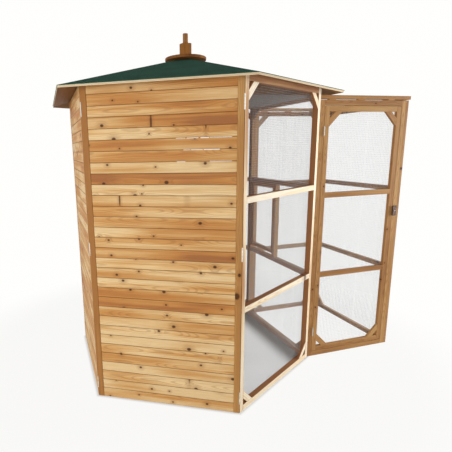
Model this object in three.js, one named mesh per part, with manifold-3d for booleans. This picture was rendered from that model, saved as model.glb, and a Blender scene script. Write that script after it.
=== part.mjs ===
// Hexagonal walk-in timber aviary with a box porch on one side.
// Millimetres, +Z up. The clad front wall faces -Y. The origin is on the ground,
// in the middle of the whole object's plan.
import * as THREE from 'three';
import { mergeVertices } from 'three/addons/utils/BufferGeometryUtils.js';
import Module from 'manifold-3d';

const wasm = await Module();
wasm.setup();

// Driving dimensions
const SIDE = 1000;               // one side of the hexagon, outer corner to outer corner
const WALL_HEIGHT = 2130;
const PORCH_WIDTH = 805;         // entry wall's outer face to the porch side's outer face
const PORCH_HEIGHT = 2050;
const FRAME_FACE = 40;           // width of a frame member seen from outside
const FRAME_DEPTH = 40;          // depth of the hexagon's frame members
const PORCH_DEPTH = 25;          // depth of the porch's and the door's members
const DOOR_POST = 38;            // width of the two posts beside the door

// Frame layout
const BAYS = 3;                  // open bays above each other in every frame
const BRACE_LEG = 110;           // corner brace, outer edge, along either member
const BRACE_INNER_LEG = 50;      // and its inner edge
const BRACE_DEPTH = 18;

// Cladding
const BOARDS = 31;               // boards in the height of a clad wall
const BOARD_THICKNESS = 12;
const BOARD_SET_BACK = 2;        // boards lie this far behind the stiles' outer face
const BOARD_JOINT = 0.8;
const BOARD_GROOVE = 7;          // depth of the joint in front of the tongue
const CLEAT_WIDTH = 30;

// Wire net, drawn with wide gaps
const NET_THICKNESS = 2;
const NET_STRIP = 4;             // width of a strand
const NET_LAP = 8;               // how far a net reaches onto the members around it
const NET_GAPS_ACROSS = 4;
const NET_GAPS_PER_BAY = 3;

// Clearances
const SEAT = 0.3;                // between pieces that rest on or butt against each other
const DOOR_GAP = 3;              // round a door leaf
const HINGE_GAP = 4;             // beside a door leaf, on its hinge side

// Hatch in the entry wall
const HATCH_POST_SHARE = 0.505;  // where the hatch's post starts, in the wall's length
const HATCH_SILL_GAP = 21;       // open slot under the hatch leaf
const HATCH_FACE = 34;           // width of the hatch leaf's members

// Butt hinges
const HINGE_PLATE = 1.2;
const HINGE_PIN_RADIUS = 2;
const HINGE_PIN_CLEARANCE = 0.15;
const HINGE_KNUCKLE_RADIUS = 4;
const HINGE_STAND_OFF = 4.5;     // pin axis in front of the leaf's outer face
const HINGE_REACH = 20;          // how far a hinge's plates run into the gap
const DOOR_HINGE_LENGTH = 72;
const DOOR_HINGE_LOW = 175;      // middle of the lower hinge above the leaf's bottom
const DOOR_HINGE_HIGH = 180;     // middle of the upper hinge below the leaf's top
const HATCH_HINGE_LENGTH = 50;
const HATCH_HINGE_INSET = 90;    // middle of a hatch hinge from the leaf's end

// Turn buttons and the screws that they turn on
const BUTTON_WIDTH = 34;
const BUTTON_LENGTH = 82;
const BUTTON_THICKNESS = 10;
const BUTTON_HEIGHT = 1185;      // door button's middle above the ground
const HATCH_BUTTON_WIDTH = 20;
const HATCH_BUTTON_LENGTH = 62;
const HATCH_BUTTON_THICKNESS = 8;
const SCREW_RADIUS = 2.5;
const SCREW_CLEARANCE = 0.15;
const SCREW_HEAD_RADIUS = 5;
const SCREW_HEAD_THICKNESS = 2.5;

// Porch roof
const PORCH_ROOF_THICKNESS = 27;
const PORCH_ROOF_FACE = 40;
const PORCH_ROOF_SIDE_FACE = 25;
const PORCH_ROOF_OVERHANG = 16;  // past the porch's side
const PACKER_THICKNESS = 6;
const PACKER_LENGTH = 60;
const PACKER_SHARES = [0.13, 0.46, 0.82];   // packers along each porch panel

// Main roof
const ROOF_PITCH_SHARE = 0.2968; // rise for each unit of run, square to the walls
const ROOF_OVERHANG = 132;       // eave past the walls, square to them
const ROOF_OPENING = 77;         // half width of the opening round the hub
const DECK_THICKNESS = 12;
const FELT_THICKNESS = 3;
const FELT_OVERHANG = 3;
const RAFTER_WIDTH = 30;
const RAFTER_HEIGHT = 35;
const HUB_RADIUS = 76;
const HUB_HEIGHT = 80;

// Finial
const FINIAL_DISC_RADIUS = 158;
const FINIAL_DISC_THICKNESS = 21;
const FINIAL_BLOCK_RADIUS = 47;
const FINIAL_BLOCK_HEIGHT = 105;
const FINIAL_POST_RADIUS = 19.5;
const FINIAL_POST_HEIGHT = 69;

const CORNERS = 6;
const TURN = (2 * Math.PI) / CORNERS;
const HALF_TURN = TURN / 2;
const APOTHEM = SIDE / 2 / Math.tan(HALF_TURN);
const ROUND_SIDES = 24;
const DISC_SIDES = 48;
const SMALL_ROUND_SIDES = 12;
const BLOCK_SIDES = 4;

// Materials
function finish(name, color, roughness, metalness) {
  const material = new THREE.MeshStandardMaterial({ color, roughness, metalness });
  material.name = name;
  return material;
}
const fir = () => finish('fir', 0xc9955c, 0.7, 0);
const cladding = () => finish('cladding', 0xd09a58, 0.65, 0);
const plywood = () => finish('plywood', 0xd8bf94, 0.75, 0);
const felt = () => finish('felt', 0x2f463c, 0.95, 0);
const wire = () => finish('wire', 0x9a9c9a, 0.45, 0.8);
const steel = () => finish('steel', 0xb9bcba, 0.4, 0.85);
const hardwood = () => finish('hardwood', 0x4a2c18, 0.6, 0);

// Solids
function box(x0, x1, y0, y1, z0, z1) {
  const geometry = new THREE.BoxGeometry(Math.abs(x1 - x0), Math.abs(y1 - y0), Math.abs(z1 - z0));
  return geometry.translate((x0 + x1) / 2, (y0 + y1) / 2, (z0 + z1) / 2);
}

// A plan outline, raised from z0 to z1
function raised(shape, z0, z1) {
  const geometry = new THREE.ExtrudeGeometry(shape, { depth: z1 - z0, bevelEnabled: false });
  return geometry.translate(0, 0, z0);
}

// An outline drawn in x and z, given the depth y0 to y1
function standing(shape, y0, y1) {
  const geometry = new THREE.ExtrudeGeometry(shape, { depth: y1 - y0, bevelEnabled: false });
  return geometry.rotateX(Math.PI / 2).translate(0, y1, 0);
}

function outline(pairs) {
  return pairs.map(([x, y]) => new THREE.Vector2(x, y));
}

function rectangle(x0, x1, y0, y1) {
  return outline([[x0, y0], [x1, y0], [x1, y1], [x0, y1]]);
}

function polygon(radius, sides, turn = 0) {
  return Array.from({ length: sides }, (_, i) => {
    const angle = turn + (2 * Math.PI * i) / sides;
    return new THREE.Vector2(radius * Math.cos(angle), radius * Math.sin(angle));
  });
}

function shapeOf(points, holes = []) {
  const shape = new THREE.Shape(points);
  shape.holes = holes.map((hole) => new THREE.Path(hole));
  return shape;
}

function toManifold(geometry) {
  const bare = geometry.clone();
  bare.deleteAttribute('normal');
  bare.deleteAttribute('uv');
  const merged = mergeVertices(bare);
  return new wasm.Manifold(new wasm.Mesh({
    numProp: 3,
    vertProperties: new Float32Array(merged.attributes.position.array),
    triVerts: new Uint32Array(merged.index.array),
  }));
}

function fromManifold(solid) {
  const mesh = solid.getMesh();
  const geometry = new THREE.BufferGeometry();
  geometry.setAttribute('position', new THREE.BufferAttribute(mesh.vertProperties, mesh.numProp));
  geometry.setIndex(new THREE.BufferAttribute(mesh.triVerts, 1));
  const flat = geometry.toNonIndexed();
  flat.computeVertexNormals();
  return flat;
}

// Overlapping solids made one
function joined(...solids) {
  return fromManifold(solids.map(toManifold).reduce((sum, solid) => sum.add(solid)));
}

function cut(body, tools) {
  const rest = tools.map(toManifold).reduce((solid, tool) => solid.subtract(tool), toManifold(body));
  return fromManifold(rest);
}

function node(name, geometry, material) {
  const mesh = new THREE.Mesh(geometry, material);
  mesh.name = name;
  return mesh;
}

function placed(x, y, turn, parts) {
  const holder = new THREE.Group();
  holder.position.set(x, y, 0);
  holder.rotation.z = turn;
  holder.add(...parts);
  return holder;
}

// Every panel is drawn with x along it as seen from outside, centred on x = 0, its outer
// face at y = 0, its inside towards +y, and the ground at z = 0.

// Heights of a frame's rails, bottom to top
function railHeights(height) {
  const pitch = (height - FRAME_FACE) / BAYS;
  return Array.from({ length: BAYS + 1 }, (_, i) => i * pitch);
}

// A stile of the hexagon, cut to meet its neighbour; side is -1 for left and 1 for right
function mitredStile(side) {
  const end = SIDE / 2 - SEAT;
  const inner = SIDE / 2 - FRAME_FACE;
  const back = end - FRAME_DEPTH * Math.tan(HALF_TURN);
  const points = outline([
    [side * inner, 0], [side * end, 0], [side * back, FRAME_DEPTH], [side * inner, FRAME_DEPTH],
  ]);
  return raised(shapeOf(points), 0, WALL_HEIGHT);
}

const mitredStiles = [mitredStile(-1), mitredStile(1)];

function squareStiles(width, depth, height) {
  const outer = width / 2;
  const inner = outer - FRAME_FACE;
  return [box(-outer, -inner, 0, depth, 0, height), box(inner, outer, 0, depth, 0, height)];
}

// A rail between two stiles; reach is how far it runs into them, negative when it stops short
function rail(width, reach, y0, y1, z) {
  const half = width / 2 - FRAME_FACE + reach;
  return box(-half, half, y0, y1, z, z + FRAME_FACE);
}

// The two corner braces that stand on a frame's bottom rail, at 45 degrees from rail to
// stile. They are let into the rail, and reach into the stile as far as the rail does.
function lowerBraces(width, reach) {
  const strip = (side) => {
    const x = (inwards) => side * (width / 2 - FRAME_FACE - inwards);
    const letIn = FRAME_FACE / 2;
    return standing(shapeOf(outline([
      [x(BRACE_INNER_LEG + letIn), FRAME_FACE - letIn],
      [x(BRACE_LEG + letIn), FRAME_FACE - letIn],
      [x(-reach), FRAME_FACE + BRACE_LEG + reach],
      [x(-reach), FRAME_FACE + BRACE_INNER_LEG + reach],
    ])), 0, BRACE_DEPTH);
  };
  return [strip(-1), strip(1)];
}

// The same two braces turned over to hang from the top rail
function upperBraces(width, reach, height) {
  return lowerBraces(width, reach).map(
    (strip) => strip.rotateY(Math.PI).translate(0, 0, height));
}

// The gaps of a net in a field bounded by strands
function netGaps(x0, x1, y0, y1, across, up) {
  const pitchX = (x1 - x0 - NET_STRIP) / across;
  const pitchY = (y1 - y0 - NET_STRIP) / up;
  const gaps = [];
  for (let i = 0; i < across; i += 1) {
    for (let j = 0; j < up; j += 1) {
      const left = x0 + NET_STRIP + i * pitchX;
      const low = y0 + NET_STRIP + j * pitchY;
      gaps.push([left, left + pitchX - NET_STRIP, low, low + pitchY - NET_STRIP]);
    }
  }
  return gaps;
}

// A net lying flat on z = 0; the field and each gap are given as x and y limits
function flatNet(field, gaps) {
  const sheet = box(...field, 0, NET_THICKNESS);
  return cut(sheet, gaps.map((gap) => box(...gap, -NET_THICKNESS, 2 * NET_THICKNESS)));
}

// The same net stood up behind a frame of the given depth
function standingNet(field, gaps, depth) {
  return flatNet(field, gaps).rotateX(Math.PI / 2).translate(0, depth + SEAT + NET_THICKNESS, 0);
}

// The net's gaps in one bay of a frame, out to x1
function bayGaps(width, height, bay, x1, across) {
  const heights = railHeights(height);
  const x0 = FRAME_FACE - NET_LAP - width / 2;
  const low = heights[bay] + FRAME_FACE - NET_LAP;
  return netGaps(x0, x1, low, heights[bay + 1] + NET_LAP, across, NET_GAPS_PER_BAY);
}

// A net over all bays of a frame, behind it
function frameNet(width, depth, height, gaps) {
  const half = width / 2 - FRAME_FACE + NET_LAP;
  const low = FRAME_FACE - NET_LAP;
  return standingNet([-half, half, low, height - low], gaps, depth);
}

function fullNet(width, depth, height) {
  const edge = width / 2 - FRAME_FACE + NET_LAP;
  const gaps = Array.from(
    { length: BAYS }, (_, bay) => bayGaps(width, height, bay, edge, NET_GAPS_ACROSS));
  return frameNet(width, depth, height, gaps.flat());
}

// Stiles, rails and braces screwed and glued into one frame
function wholeFrame(width, depth, height, stiles) {
  const reach = FRAME_FACE / 4;
  const rails = railHeights(height).map((z) => rail(width, reach, 0, depth, z));
  const braces = [...lowerBraces(width, reach), ...upperBraces(width, reach, height)];
  return joined(...stiles, ...rails, ...braces);
}

function framedPanel(name, width, depth, height, stiles) {
  return [
    node(`${name}_frame`, wholeFrame(width, depth, height, stiles), fir()),
    node(`${name}_net`, fullNet(width, depth, height), wire()),
  ];
}

// The same panel in its pieces; each outer rail carries its two corner braces.
function jointedPanel(name, width, depth, height, stiles) {
  const [bottom, lower, upper, top] = railHeights(height).map((z) => rail(width, -SEAT, 0, depth, z));
  const bottomRail = joined(bottom, ...lowerBraces(width, -SEAT));
  const topRail = joined(top, ...upperBraces(width, -SEAT, height));
  return [
    node(`${name}_stile_left`, stiles[0], fir()),
    node(`${name}_stile_right`, stiles[1], fir()),
    node(`${name}_bottom_rail`, bottomRail, fir()),
    node(`${name}_lower_rail`, lower, fir()),
    node(`${name}_upper_rail`, upper, fir()),
    node(`${name}_top_rail`, topRail, fir()),
    node(`${name}_net`, fullNet(width, depth, height), wire()),
  ];
}

// Tongued boards from the ground to the wall's top, drawn as a section and run along x
function boarding(half) {
  const pitch = WALL_HEIGHT / BOARDS;
  const front = BOARD_SET_BACK;
  const back = front + BOARD_THICKNESS;
  const faces = Array.from({ length: BOARDS }, (_, i) => {
    const low = i * pitch;
    const high = low + pitch;
    const face = [[front, low], [front, high - BOARD_JOINT]];
    const groove = [[front + BOARD_GROOVE, high - BOARD_JOINT], [front + BOARD_GROOVE, high]];
    return i < BOARDS - 1 ? [...face, ...groove] : [[front, low], [front, high]];
  });
  const section = shapeOf(outline([[back, 0], ...faces.flat(), [back, WALL_HEIGHT]]));
  return raised(section, -half, half).rotateX(Math.PI / 2).rotateZ(Math.PI / 2);
}

// Two upright cleats behind the boards' ends, with a batten between them at each rail's height
function boardBacking(half) {
  const front = BOARD_SET_BACK + BOARD_THICKNESS + SEAT;
  const cleats = [-1, 1].map(
    (side) => box(side * (half - CLEAT_WIDTH), side * half, front, FRAME_DEPTH, 0, WALL_HEIGHT));
  const inner = half - CLEAT_WIDTH / 2;
  const battens = railHeights(WALL_HEIGHT).map(
    (z) => box(-inner, inner, front, FRAME_DEPTH, z, z + FRAME_FACE));
  return joined(...cleats, ...battens);
}

function cladWall(name) {
  const half = SIDE / 2 - FRAME_FACE - SEAT;
  return [
    node(`${name}_stile_left`, mitredStiles[0].clone(), fir()),
    node(`${name}_stile_right`, mitredStiles[1].clone(), fir()),
    node(`${name}_backing`, boardBacking(half), fir()),
    node(`${name}_boards`, boarding(half), cladding()),
  ];
}

// The hatch stands in the entry wall's middle bay, between a post and the right stile.
const hatchPostLeft = (HATCH_POST_SHARE - 1 / 2) * SIDE;
const hatchPostRight = hatchPostLeft + FRAME_FACE;
const hatchBayLow = railHeights(WALL_HEIGHT)[1] + FRAME_FACE;
const hatchBayHigh = railHeights(WALL_HEIGHT)[2];
const hatchLeft = hatchPostRight + DOOR_GAP;
const hatchRight = SIDE / 2 - FRAME_FACE - HINGE_GAP;
const hatchLow = hatchBayLow + HATCH_SILL_GAP;
const hatchHigh = hatchBayHigh - DOOR_GAP;

function entryWall() {
  const edge = SIDE / 2 - FRAME_FACE + NET_LAP;
  const postEdge = hatchPostLeft + NET_LAP;
  const gaps = [
    ...bayGaps(SIDE, WALL_HEIGHT, 0, edge, NET_GAPS_ACROSS),
    ...bayGaps(SIDE, WALL_HEIGHT, 1, postEdge, NET_GAPS_ACROSS / 2),
    [postEdge, edge - NET_STRIP, hatchBayLow - NET_STRIP, hatchBayHigh + NET_STRIP],
    ...bayGaps(SIDE, WALL_HEIGHT, 2, edge, NET_GAPS_ACROSS),
  ];
  const post = box(
    hatchPostLeft, hatchPostRight, 0, FRAME_DEPTH, hatchBayLow + SEAT, hatchBayHigh - SEAT);
  return [
    node('entry_wall_frame', wholeFrame(SIDE, FRAME_DEPTH, WALL_HEIGHT, mitredStiles), fir()),
    node('entry_wall_net', frameNet(SIDE, FRAME_DEPTH, WALL_HEIGHT, gaps), wire()),
    node('hatch_post', post, fir()),
  ];
}

function hatch() {
  const left = hatchLeft + HATCH_FACE;
  const right = hatchRight - HATCH_FACE;
  const low = hatchLow + HATCH_FACE;
  const high = hatchHigh - HATCH_FACE;
  const rim = shapeOf(
    rectangle(hatchLeft, hatchRight, hatchLow, hatchHigh), [rectangle(left, right, low, high)]);
  const field = [left - NET_LAP, right + NET_LAP, low - NET_LAP, high + NET_LAP];
  const gaps = netGaps(...field, NET_GAPS_ACROSS / 2, NET_GAPS_PER_BAY);
  return [
    node('hatch_frame', standing(rim, 0, PORCH_DEPTH), fir()),
    node('hatch_net', standingNet(field, gaps, PORCH_DEPTH), wire()),
  ];
}

// The two halves of a hinge in the gap that starts at x = gapLeft. The leaf is on the
// side of the gap that leafSide names, -1 for left and 1 for right.
function hingeHalves(gapLeft, leafSide, middle, length) {
  const axisX = gapLeft + HINGE_GAP / 2;
  const low = middle - length / 2;
  const high = middle + length / 2;
  const fixedTop = middle - SEAT / 2;
  const movingLow = middle + SEAT / 2;
  const bore = HINGE_PIN_RADIUS + HINGE_PIN_CLEARANCE;
  const knuckleWall = (HINGE_KNUCKLE_RADIUS + bore) / 2;
  const plate = (side, z0, z1) => {
    const far = side * (HINGE_GAP / 2 - SEAT);
    return box(far, far - side * HINGE_PLATE, knuckleWall, HINGE_STAND_OFF + HINGE_REACH, z0, z1);
  };
  const knuckle = (holes, z0, z1) => raised(
    shapeOf(polygon(HINGE_KNUCKLE_RADIUS, SMALL_ROUND_SIDES), holes), z0, z1);
  const pin = raised(shapeOf(polygon(HINGE_PIN_RADIUS, SMALL_ROUND_SIDES)), low, high);
  const fixed = joined(plate(-leafSide, low, fixedTop), knuckle([], low, fixedTop), pin);
  const moving = joined(
    plate(leafSide, movingLow, high), knuckle([polygon(bore, SMALL_ROUND_SIDES)], movingLow, high));
  return {
    fixed: fixed.translate(axisX, -HINGE_STAND_OFF, 0),
    moving: moving.translate(axisX, -HINGE_STAND_OFF, 0),
  };
}

// A turn button with its screw hole, long side up, lying on the face at y = 0
function turnButton(width, length, thickness, x, z) {
  const w = width / 2;
  const l = length / 2;
  const snip = width / 4;
  const points = outline([
    [snip - w, -l], [w - snip, -l], [w, snip - l], [w, l - snip],
    [w - snip, l], [snip - w, l], [-w, l - snip], [-w, snip - l],
  ]);
  const shape = shapeOf(points, [polygon(SCREW_RADIUS + SCREW_CLEARANCE, SMALL_ROUND_SIDES)]);
  return standing(shape, -SEAT - thickness, -SEAT).translate(x, 0, z);
}

// Its screw: the shank ends on the post's face, the head stands in front of the button.
function buttonScrew(thickness, x, z) {
  const face = -SEAT - thickness - SEAT;
  const round = (radius, y0, y1) => standing(shapeOf(polygon(radius, SMALL_ROUND_SIDES)), y0, y1);
  const shank = round(SCREW_RADIUS, face - SCREW_HEAD_THICKNESS / 2, -SEAT);
  const head = round(SCREW_HEAD_RADIUS, face - SCREW_HEAD_THICKNESS, face);
  return joined(shank, head).translate(x, 0, z);
}

// The porch runs out from the entry wall: portal and end panel stand between that wall
// and the porch's side panel.
const porchLength = PORCH_WIDTH - PORCH_DEPTH - 2 * SEAT;
const porchMiddle = (PORCH_DEPTH - PORCH_WIDTH) / 2;

function porchPanel(name, width) {
  const stiles = squareStiles(width, PORCH_DEPTH, PORCH_HEIGHT);
  return framedPanel(name, width, PORCH_DEPTH, PORCH_HEIGHT, stiles);
}

// The door's surround: two posts, a sill rail and a head rail
function portal() {
  const half = porchLength / 2;
  const opening = half - DOOR_POST;
  const hole = rectangle(-opening, opening, FRAME_FACE, PORCH_HEIGHT - FRAME_FACE);
  const rim = shapeOf(rectangle(-half, half, 0, PORCH_HEIGHT), [hole]);
  return [node('portal_frame', standing(rim, 0, PORCH_DEPTH), fir())];
}

// The door leaf is drawn as a panel and lifted over the portal's bottom rail.
const doorGapLeft = DOOR_POST - porchLength / 2;
const doorWidth = porchLength - 2 * DOOR_POST - HINGE_GAP - DOOR_GAP;
const doorHeight = PORCH_HEIGHT - 2 * FRAME_FACE - 2 * DOOR_GAP;

function door() {
  const stiles = squareStiles(doorWidth, PORCH_DEPTH, doorHeight);
  const panel = jointedPanel('door', doorWidth, PORCH_DEPTH, doorHeight, stiles);
  const leaf = placed((HINGE_GAP - DOOR_GAP) / 2, 0, 0, panel);
  leaf.position.z = FRAME_FACE + DOOR_GAP;
  return leaf;
}

// A lower and an upper hinge, each with a fixed and a moving half
function hingePair(name, gapLeft, leafSide, low, high, length) {
  const halves = (which, z) => {
    const { fixed, moving } = hingeHalves(gapLeft, leafSide, z, length);
    return [
      node(`${name}_${which}_hinge_fixed`, fixed, steel()),
      node(`${name}_${which}_hinge_moving`, moving, steel()),
    ];
  };
  return [...halves('lower', low), ...halves('upper', high)];
}

function doorFittings() {
  const low = FRAME_FACE + DOOR_GAP + DOOR_HINGE_LOW;
  const high = FRAME_FACE + DOOR_GAP + doorHeight - DOOR_HINGE_HIGH;
  const x = porchLength / 2 - DOOR_POST - DOOR_GAP / 2 + BUTTON_WIDTH / 2;
  const button = turnButton(BUTTON_WIDTH, BUTTON_LENGTH, BUTTON_THICKNESS, x, BUTTON_HEIGHT);
  return [
    ...hingePair('door', doorGapLeft, 1, low, high, DOOR_HINGE_LENGTH),
    node('door_turn_button', button, hardwood()),
    node('door_button_screw', buttonScrew(BUTTON_THICKNESS, x, BUTTON_HEIGHT), steel()),
  ];
}

function hatchFittings() {
  const low = hatchLow + HATCH_HINGE_INSET;
  const high = hatchHigh - HATCH_HINGE_INSET;
  const x = (hatchPostLeft + hatchPostRight) / 2;
  const z = (hatchLow + hatchHigh) / 2;
  const button = turnButton(
    HATCH_BUTTON_WIDTH, HATCH_BUTTON_LENGTH, HATCH_BUTTON_THICKNESS, x, z);
  return [
    ...hingePair('hatch', hatchRight, -1, low, high, HATCH_HINGE_LENGTH),
    node('hatch_turn_button', button, hardwood()),
    node('hatch_button_screw', buttonScrew(HATCH_BUTTON_THICKNESS, x, z), steel()),
  ];
}

// A flat frame with a net on it, lying on packers along the three porch panels
function porchRoof() {
  const low = PORCH_HEIGHT + SEAT + PACKER_THICKNESS;
  const high = low + PORCH_ROOF_THICKNESS;
  const half = SIDE / 2;
  const wallSide = -SEAT - PORCH_ROOF_SIDE_FACE;
  const edge = -PORCH_WIDTH - PORCH_ROOF_OVERHANG;
  const farSide = edge + PORCH_ROOF_SIDE_FACE;
  const inner = half - PORCH_ROOF_FACE;
  const rim = shapeOf(
    rectangle(-half, half, edge, -SEAT), [rectangle(-inner, inner, farSide, wallSide)]);
  const field = [-inner - NET_LAP, inner + NET_LAP, farSide - NET_LAP, wallSide + NET_LAP];
  const net = flatNet(field, netGaps(...field, NET_GAPS_ACROSS, NET_GAPS_ACROSS));
  return [
    node('porch_roof_frame', joined(raised(rim, low, high), ...packers(high)), fir()),
    node('porch_roof_net', net.translate(0, 0, high + SEAT), wire()),
  ];
}

// Packers are screwed up under the porch roof's frame, over the panels' top rails.
function packers(high) {
  const z0 = PORCH_HEIGHT + SEAT;
  const z1 = high - PORCH_ROOF_THICKNESS / 2;
  const l = PACKER_LENGTH / 2;
  const half = SIDE / 2;
  return PACKER_SHARES.flatMap((share) => {
    const y = -share * porchLength - SEAT;
    const x = (share - 1 / 2) * SIDE;
    return [
      box(-half, PORCH_DEPTH - half, y - l, y + l, z0, z1),
      box(half - PORCH_DEPTH, half, y - l, y + l, z0, z1),
      box(x - l, x + l, -PORCH_WIDTH, PORCH_DEPTH - PORCH_WIDTH, z0, z1),
    ];
  });
}

// Heights of the roof's layers at a distance from the axis, square to a wall
const pitchFactor = Math.hypot(1, ROOF_PITCH_SHARE);
const deckUnder = (run) => WALL_HEIGHT + SEAT + ROOF_PITCH_SHARE * (APOTHEM - run);
const feltUnder = (run) => deckUnder(run) + DECK_THICKNESS * pitchFactor + SEAT;
const discUnder = feltUnder(ROOF_OPENING) + FELT_THICKNESS * pitchFactor + SEAT;

// A six-sided sloping layer with an opening round the axis
function roofLayer(under, thickness, overhang) {
  const inner = ROOF_OPENING;
  const outer = APOTHEM + ROOF_OVERHANG + overhang;
  const rise = thickness * pitchFactor;
  const profile = outline([
    [inner, under(inner)], [outer, under(outer)],
    [outer, under(outer) + rise], [inner, under(inner) + rise], [inner, under(inner)],
  ]);
  profile.forEach((corner) => corner.setX(corner.x / Math.cos(HALF_TURN)));
  return new THREE.LatheGeometry(profile, CORNERS, Math.PI / 2).rotateX(Math.PI / 2);
}

// Rafters run under the hips from inside the hub to the inner corners of the walls.
function rafters() {
  const half = RAFTER_WIDTH / 2;
  const start = HUB_RADIUS / 2;
  const end = (APOTHEM - FRAME_DEPTH - SEAT - half * Math.sin(HALF_TURN)) / Math.cos(HALF_TURN);
  const drop = ROOF_PITCH_SHARE * Math.sin(HALF_TURN) * half + SEAT;
  const top = (r) => deckUnder(r * Math.cos(HALF_TURN)) - drop;
  const shape = shapeOf(outline([
    [start, top(start) - RAFTER_HEIGHT], [end, top(end) - RAFTER_HEIGHT],
    [end, top(end)], [start, top(start)],
  ]));
  return Array.from({ length: CORNERS }, (_, i) => standing(shape, -half, half).rotateZ(i * TURN));
}

function mainRoof() {
  const hubTop = discUnder - SEAT;
  const hub = raised(shapeOf(polygon(HUB_RADIUS, CORNERS, HALF_TURN)), hubTop - HUB_HEIGHT, hubTop);
  return [
    node('roof_rafters', joined(hub, ...rafters()), fir()),
    node('roof_deck', roofLayer(deckUnder, DECK_THICKNESS, 0), plywood()),
    node('roof_felt', roofLayer(feltUnder, FELT_THICKNESS, FELT_OVERHANG), felt()),
  ];
}

function finial() {
  const discTop = discUnder + FINIAL_DISC_THICKNESS;
  const blockTop = discTop + SEAT + FINIAL_BLOCK_HEIGHT;
  const postTop = blockTop + SEAT + FINIAL_POST_HEIGHT;
  const disc = shapeOf(polygon(FINIAL_DISC_RADIUS, DISC_SIDES));
  const block = shapeOf(polygon(FINIAL_BLOCK_RADIUS, BLOCK_SIDES));
  const post = shapeOf(polygon(FINIAL_POST_RADIUS, ROUND_SIDES));
  return [
    node('finial_disc', raised(disc, discUnder, discTop), fir()),
    node('finial_block', raised(block, discTop + SEAT, blockTop), fir()),
    node('finial_post', raised(post, blockTop + SEAT, postTop), fir()),
  ];
}

// Walls round the hexagon, in order from the front
function wallPlace(index, parts) {
  const angle = index * TURN;
  return placed(APOTHEM * Math.sin(angle), -APOTHEM * Math.cos(angle), angle, parts);
}

const rightWall = jointedPanel('right_wall', SIDE, FRAME_DEPTH, WALL_HEIGHT, mitredStiles);
const backWall = framedPanel('back_wall', SIDE, FRAME_DEPTH, WALL_HEIGHT, mitredStiles);
const porchParts = [
  placed(-SIDE / 2, porchMiddle, -Math.PI / 2, [...portal(), door(), ...doorFittings()]),
  placed(0, -PORCH_WIDTH, 0, porchPanel('porch_side', SIDE)),
  placed(SIDE / 2, porchMiddle, Math.PI / 2, porchPanel('porch_end', porchLength)),
];

const aviary = new THREE.Group();
aviary.name = 'aviary';
aviary.add(
  wallPlace(0, cladWall('front_wall')),
  wallPlace(1, rightWall),
  wallPlace(2, [...entryWall(), ...hatch(), ...hatchFittings(), ...porchRoof(), ...porchParts]),
  wallPlace(3, backWall),
  wallPlace(4, cladWall('back_left_wall')),
  wallPlace(5, cladWall('left_wall')),
  ...mainRoof(),
  ...finial(),
);
aviary.updateMatrixWorld(true);
const bounds = new THREE.Box3().setFromObject(aviary, true);
aviary.position.set(-(bounds.min.x + bounds.max.x) / 2, -(bounds.min.y + bounds.max.y) / 2, 0);

export default aviary;
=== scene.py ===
import math
import random

import bpy
import numpy as np
from mathutils import Matrix, Vector


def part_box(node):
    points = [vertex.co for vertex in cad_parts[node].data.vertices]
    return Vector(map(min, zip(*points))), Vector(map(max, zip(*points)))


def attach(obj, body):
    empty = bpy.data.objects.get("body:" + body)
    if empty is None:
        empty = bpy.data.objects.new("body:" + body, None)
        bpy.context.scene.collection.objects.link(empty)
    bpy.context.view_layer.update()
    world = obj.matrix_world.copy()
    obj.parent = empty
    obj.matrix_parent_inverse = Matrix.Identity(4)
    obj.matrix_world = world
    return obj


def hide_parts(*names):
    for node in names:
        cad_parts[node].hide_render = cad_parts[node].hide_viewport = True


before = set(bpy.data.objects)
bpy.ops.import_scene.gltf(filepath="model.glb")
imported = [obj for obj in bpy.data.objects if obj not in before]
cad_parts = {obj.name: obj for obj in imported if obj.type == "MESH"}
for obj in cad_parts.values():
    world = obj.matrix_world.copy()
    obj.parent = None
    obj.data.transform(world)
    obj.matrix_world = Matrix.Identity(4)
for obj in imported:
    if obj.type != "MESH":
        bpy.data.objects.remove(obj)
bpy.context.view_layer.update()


# Daylight studio: a seamless pale floor, soft lights in front, at the right (the strongest) and at
# the left, and a camera at eye height, nearly straight in front of the front wall's right corner.
FLOOR_SIZE = 60.0
CARD_GREY = (0.42, 0.42, 0.415, 1)
PAPER_WHITE = (1.0, 0.995, 0.98, 1)
FADE_NEAR, FADE_FAR = 0.852, 0.890
# Inside the hexagon, away from the entry wall, a painted pool of light: the share of white glow the floor
# shows there.
POOL_NEAR, POOL_FAR, PAINTED_POOL_SHARE = 0.60, 0.77, 0.55
SHADE_NEAR, SHADE_FAR, SHADE_LEFT = 1.70, 2.50, 0.07
SKY_LIGHT = 0.20
hub = sum(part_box("finial_post"), Vector()) / 2
EYE = Vector((0.34724, -3.42675, 1.7252))
LOOK_LEFT, LOOK_DOWN, LEAN = (math.radians(a) for a in (14.035, 12.253, 1.378))
SENSOR_WIDTH = 0.036
IMAGE_WIDTH = 452.0
FOCAL_PIXELS = 405.94
VIEW_CENTRE = (165.0, 237.06)


def colour(red, green, blue):
    """A colour written as it is seen on screen, 0 to 255, as the linear one that nodes take."""
    shares = [c / 255 for c in (red, green, blue)]
    return (*[c / 12.92 if c <= 0.04045 else ((c + 0.055) / 1.055) ** 2.4 for c in shares], 1.0)


def deselect():
    bpy.ops.object.select_all(action="DESELECT")


def soft_light(name, place, target, width, height, watts, tint):
    lamp = bpy.data.lights.new(name, "AREA")
    lamp.shape = "RECTANGLE"
    lamp.size, lamp.size_y = width, height
    lamp.energy = watts
    lamp.color = tint
    holder = bpy.data.objects.new(name, lamp)
    bpy.context.scene.collection.objects.link(holder)
    holder.location = place
    holder.rotation_euler = (Vector(target) - Vector(place)).to_track_quat("-Z", "Y").to_euler()


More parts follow.
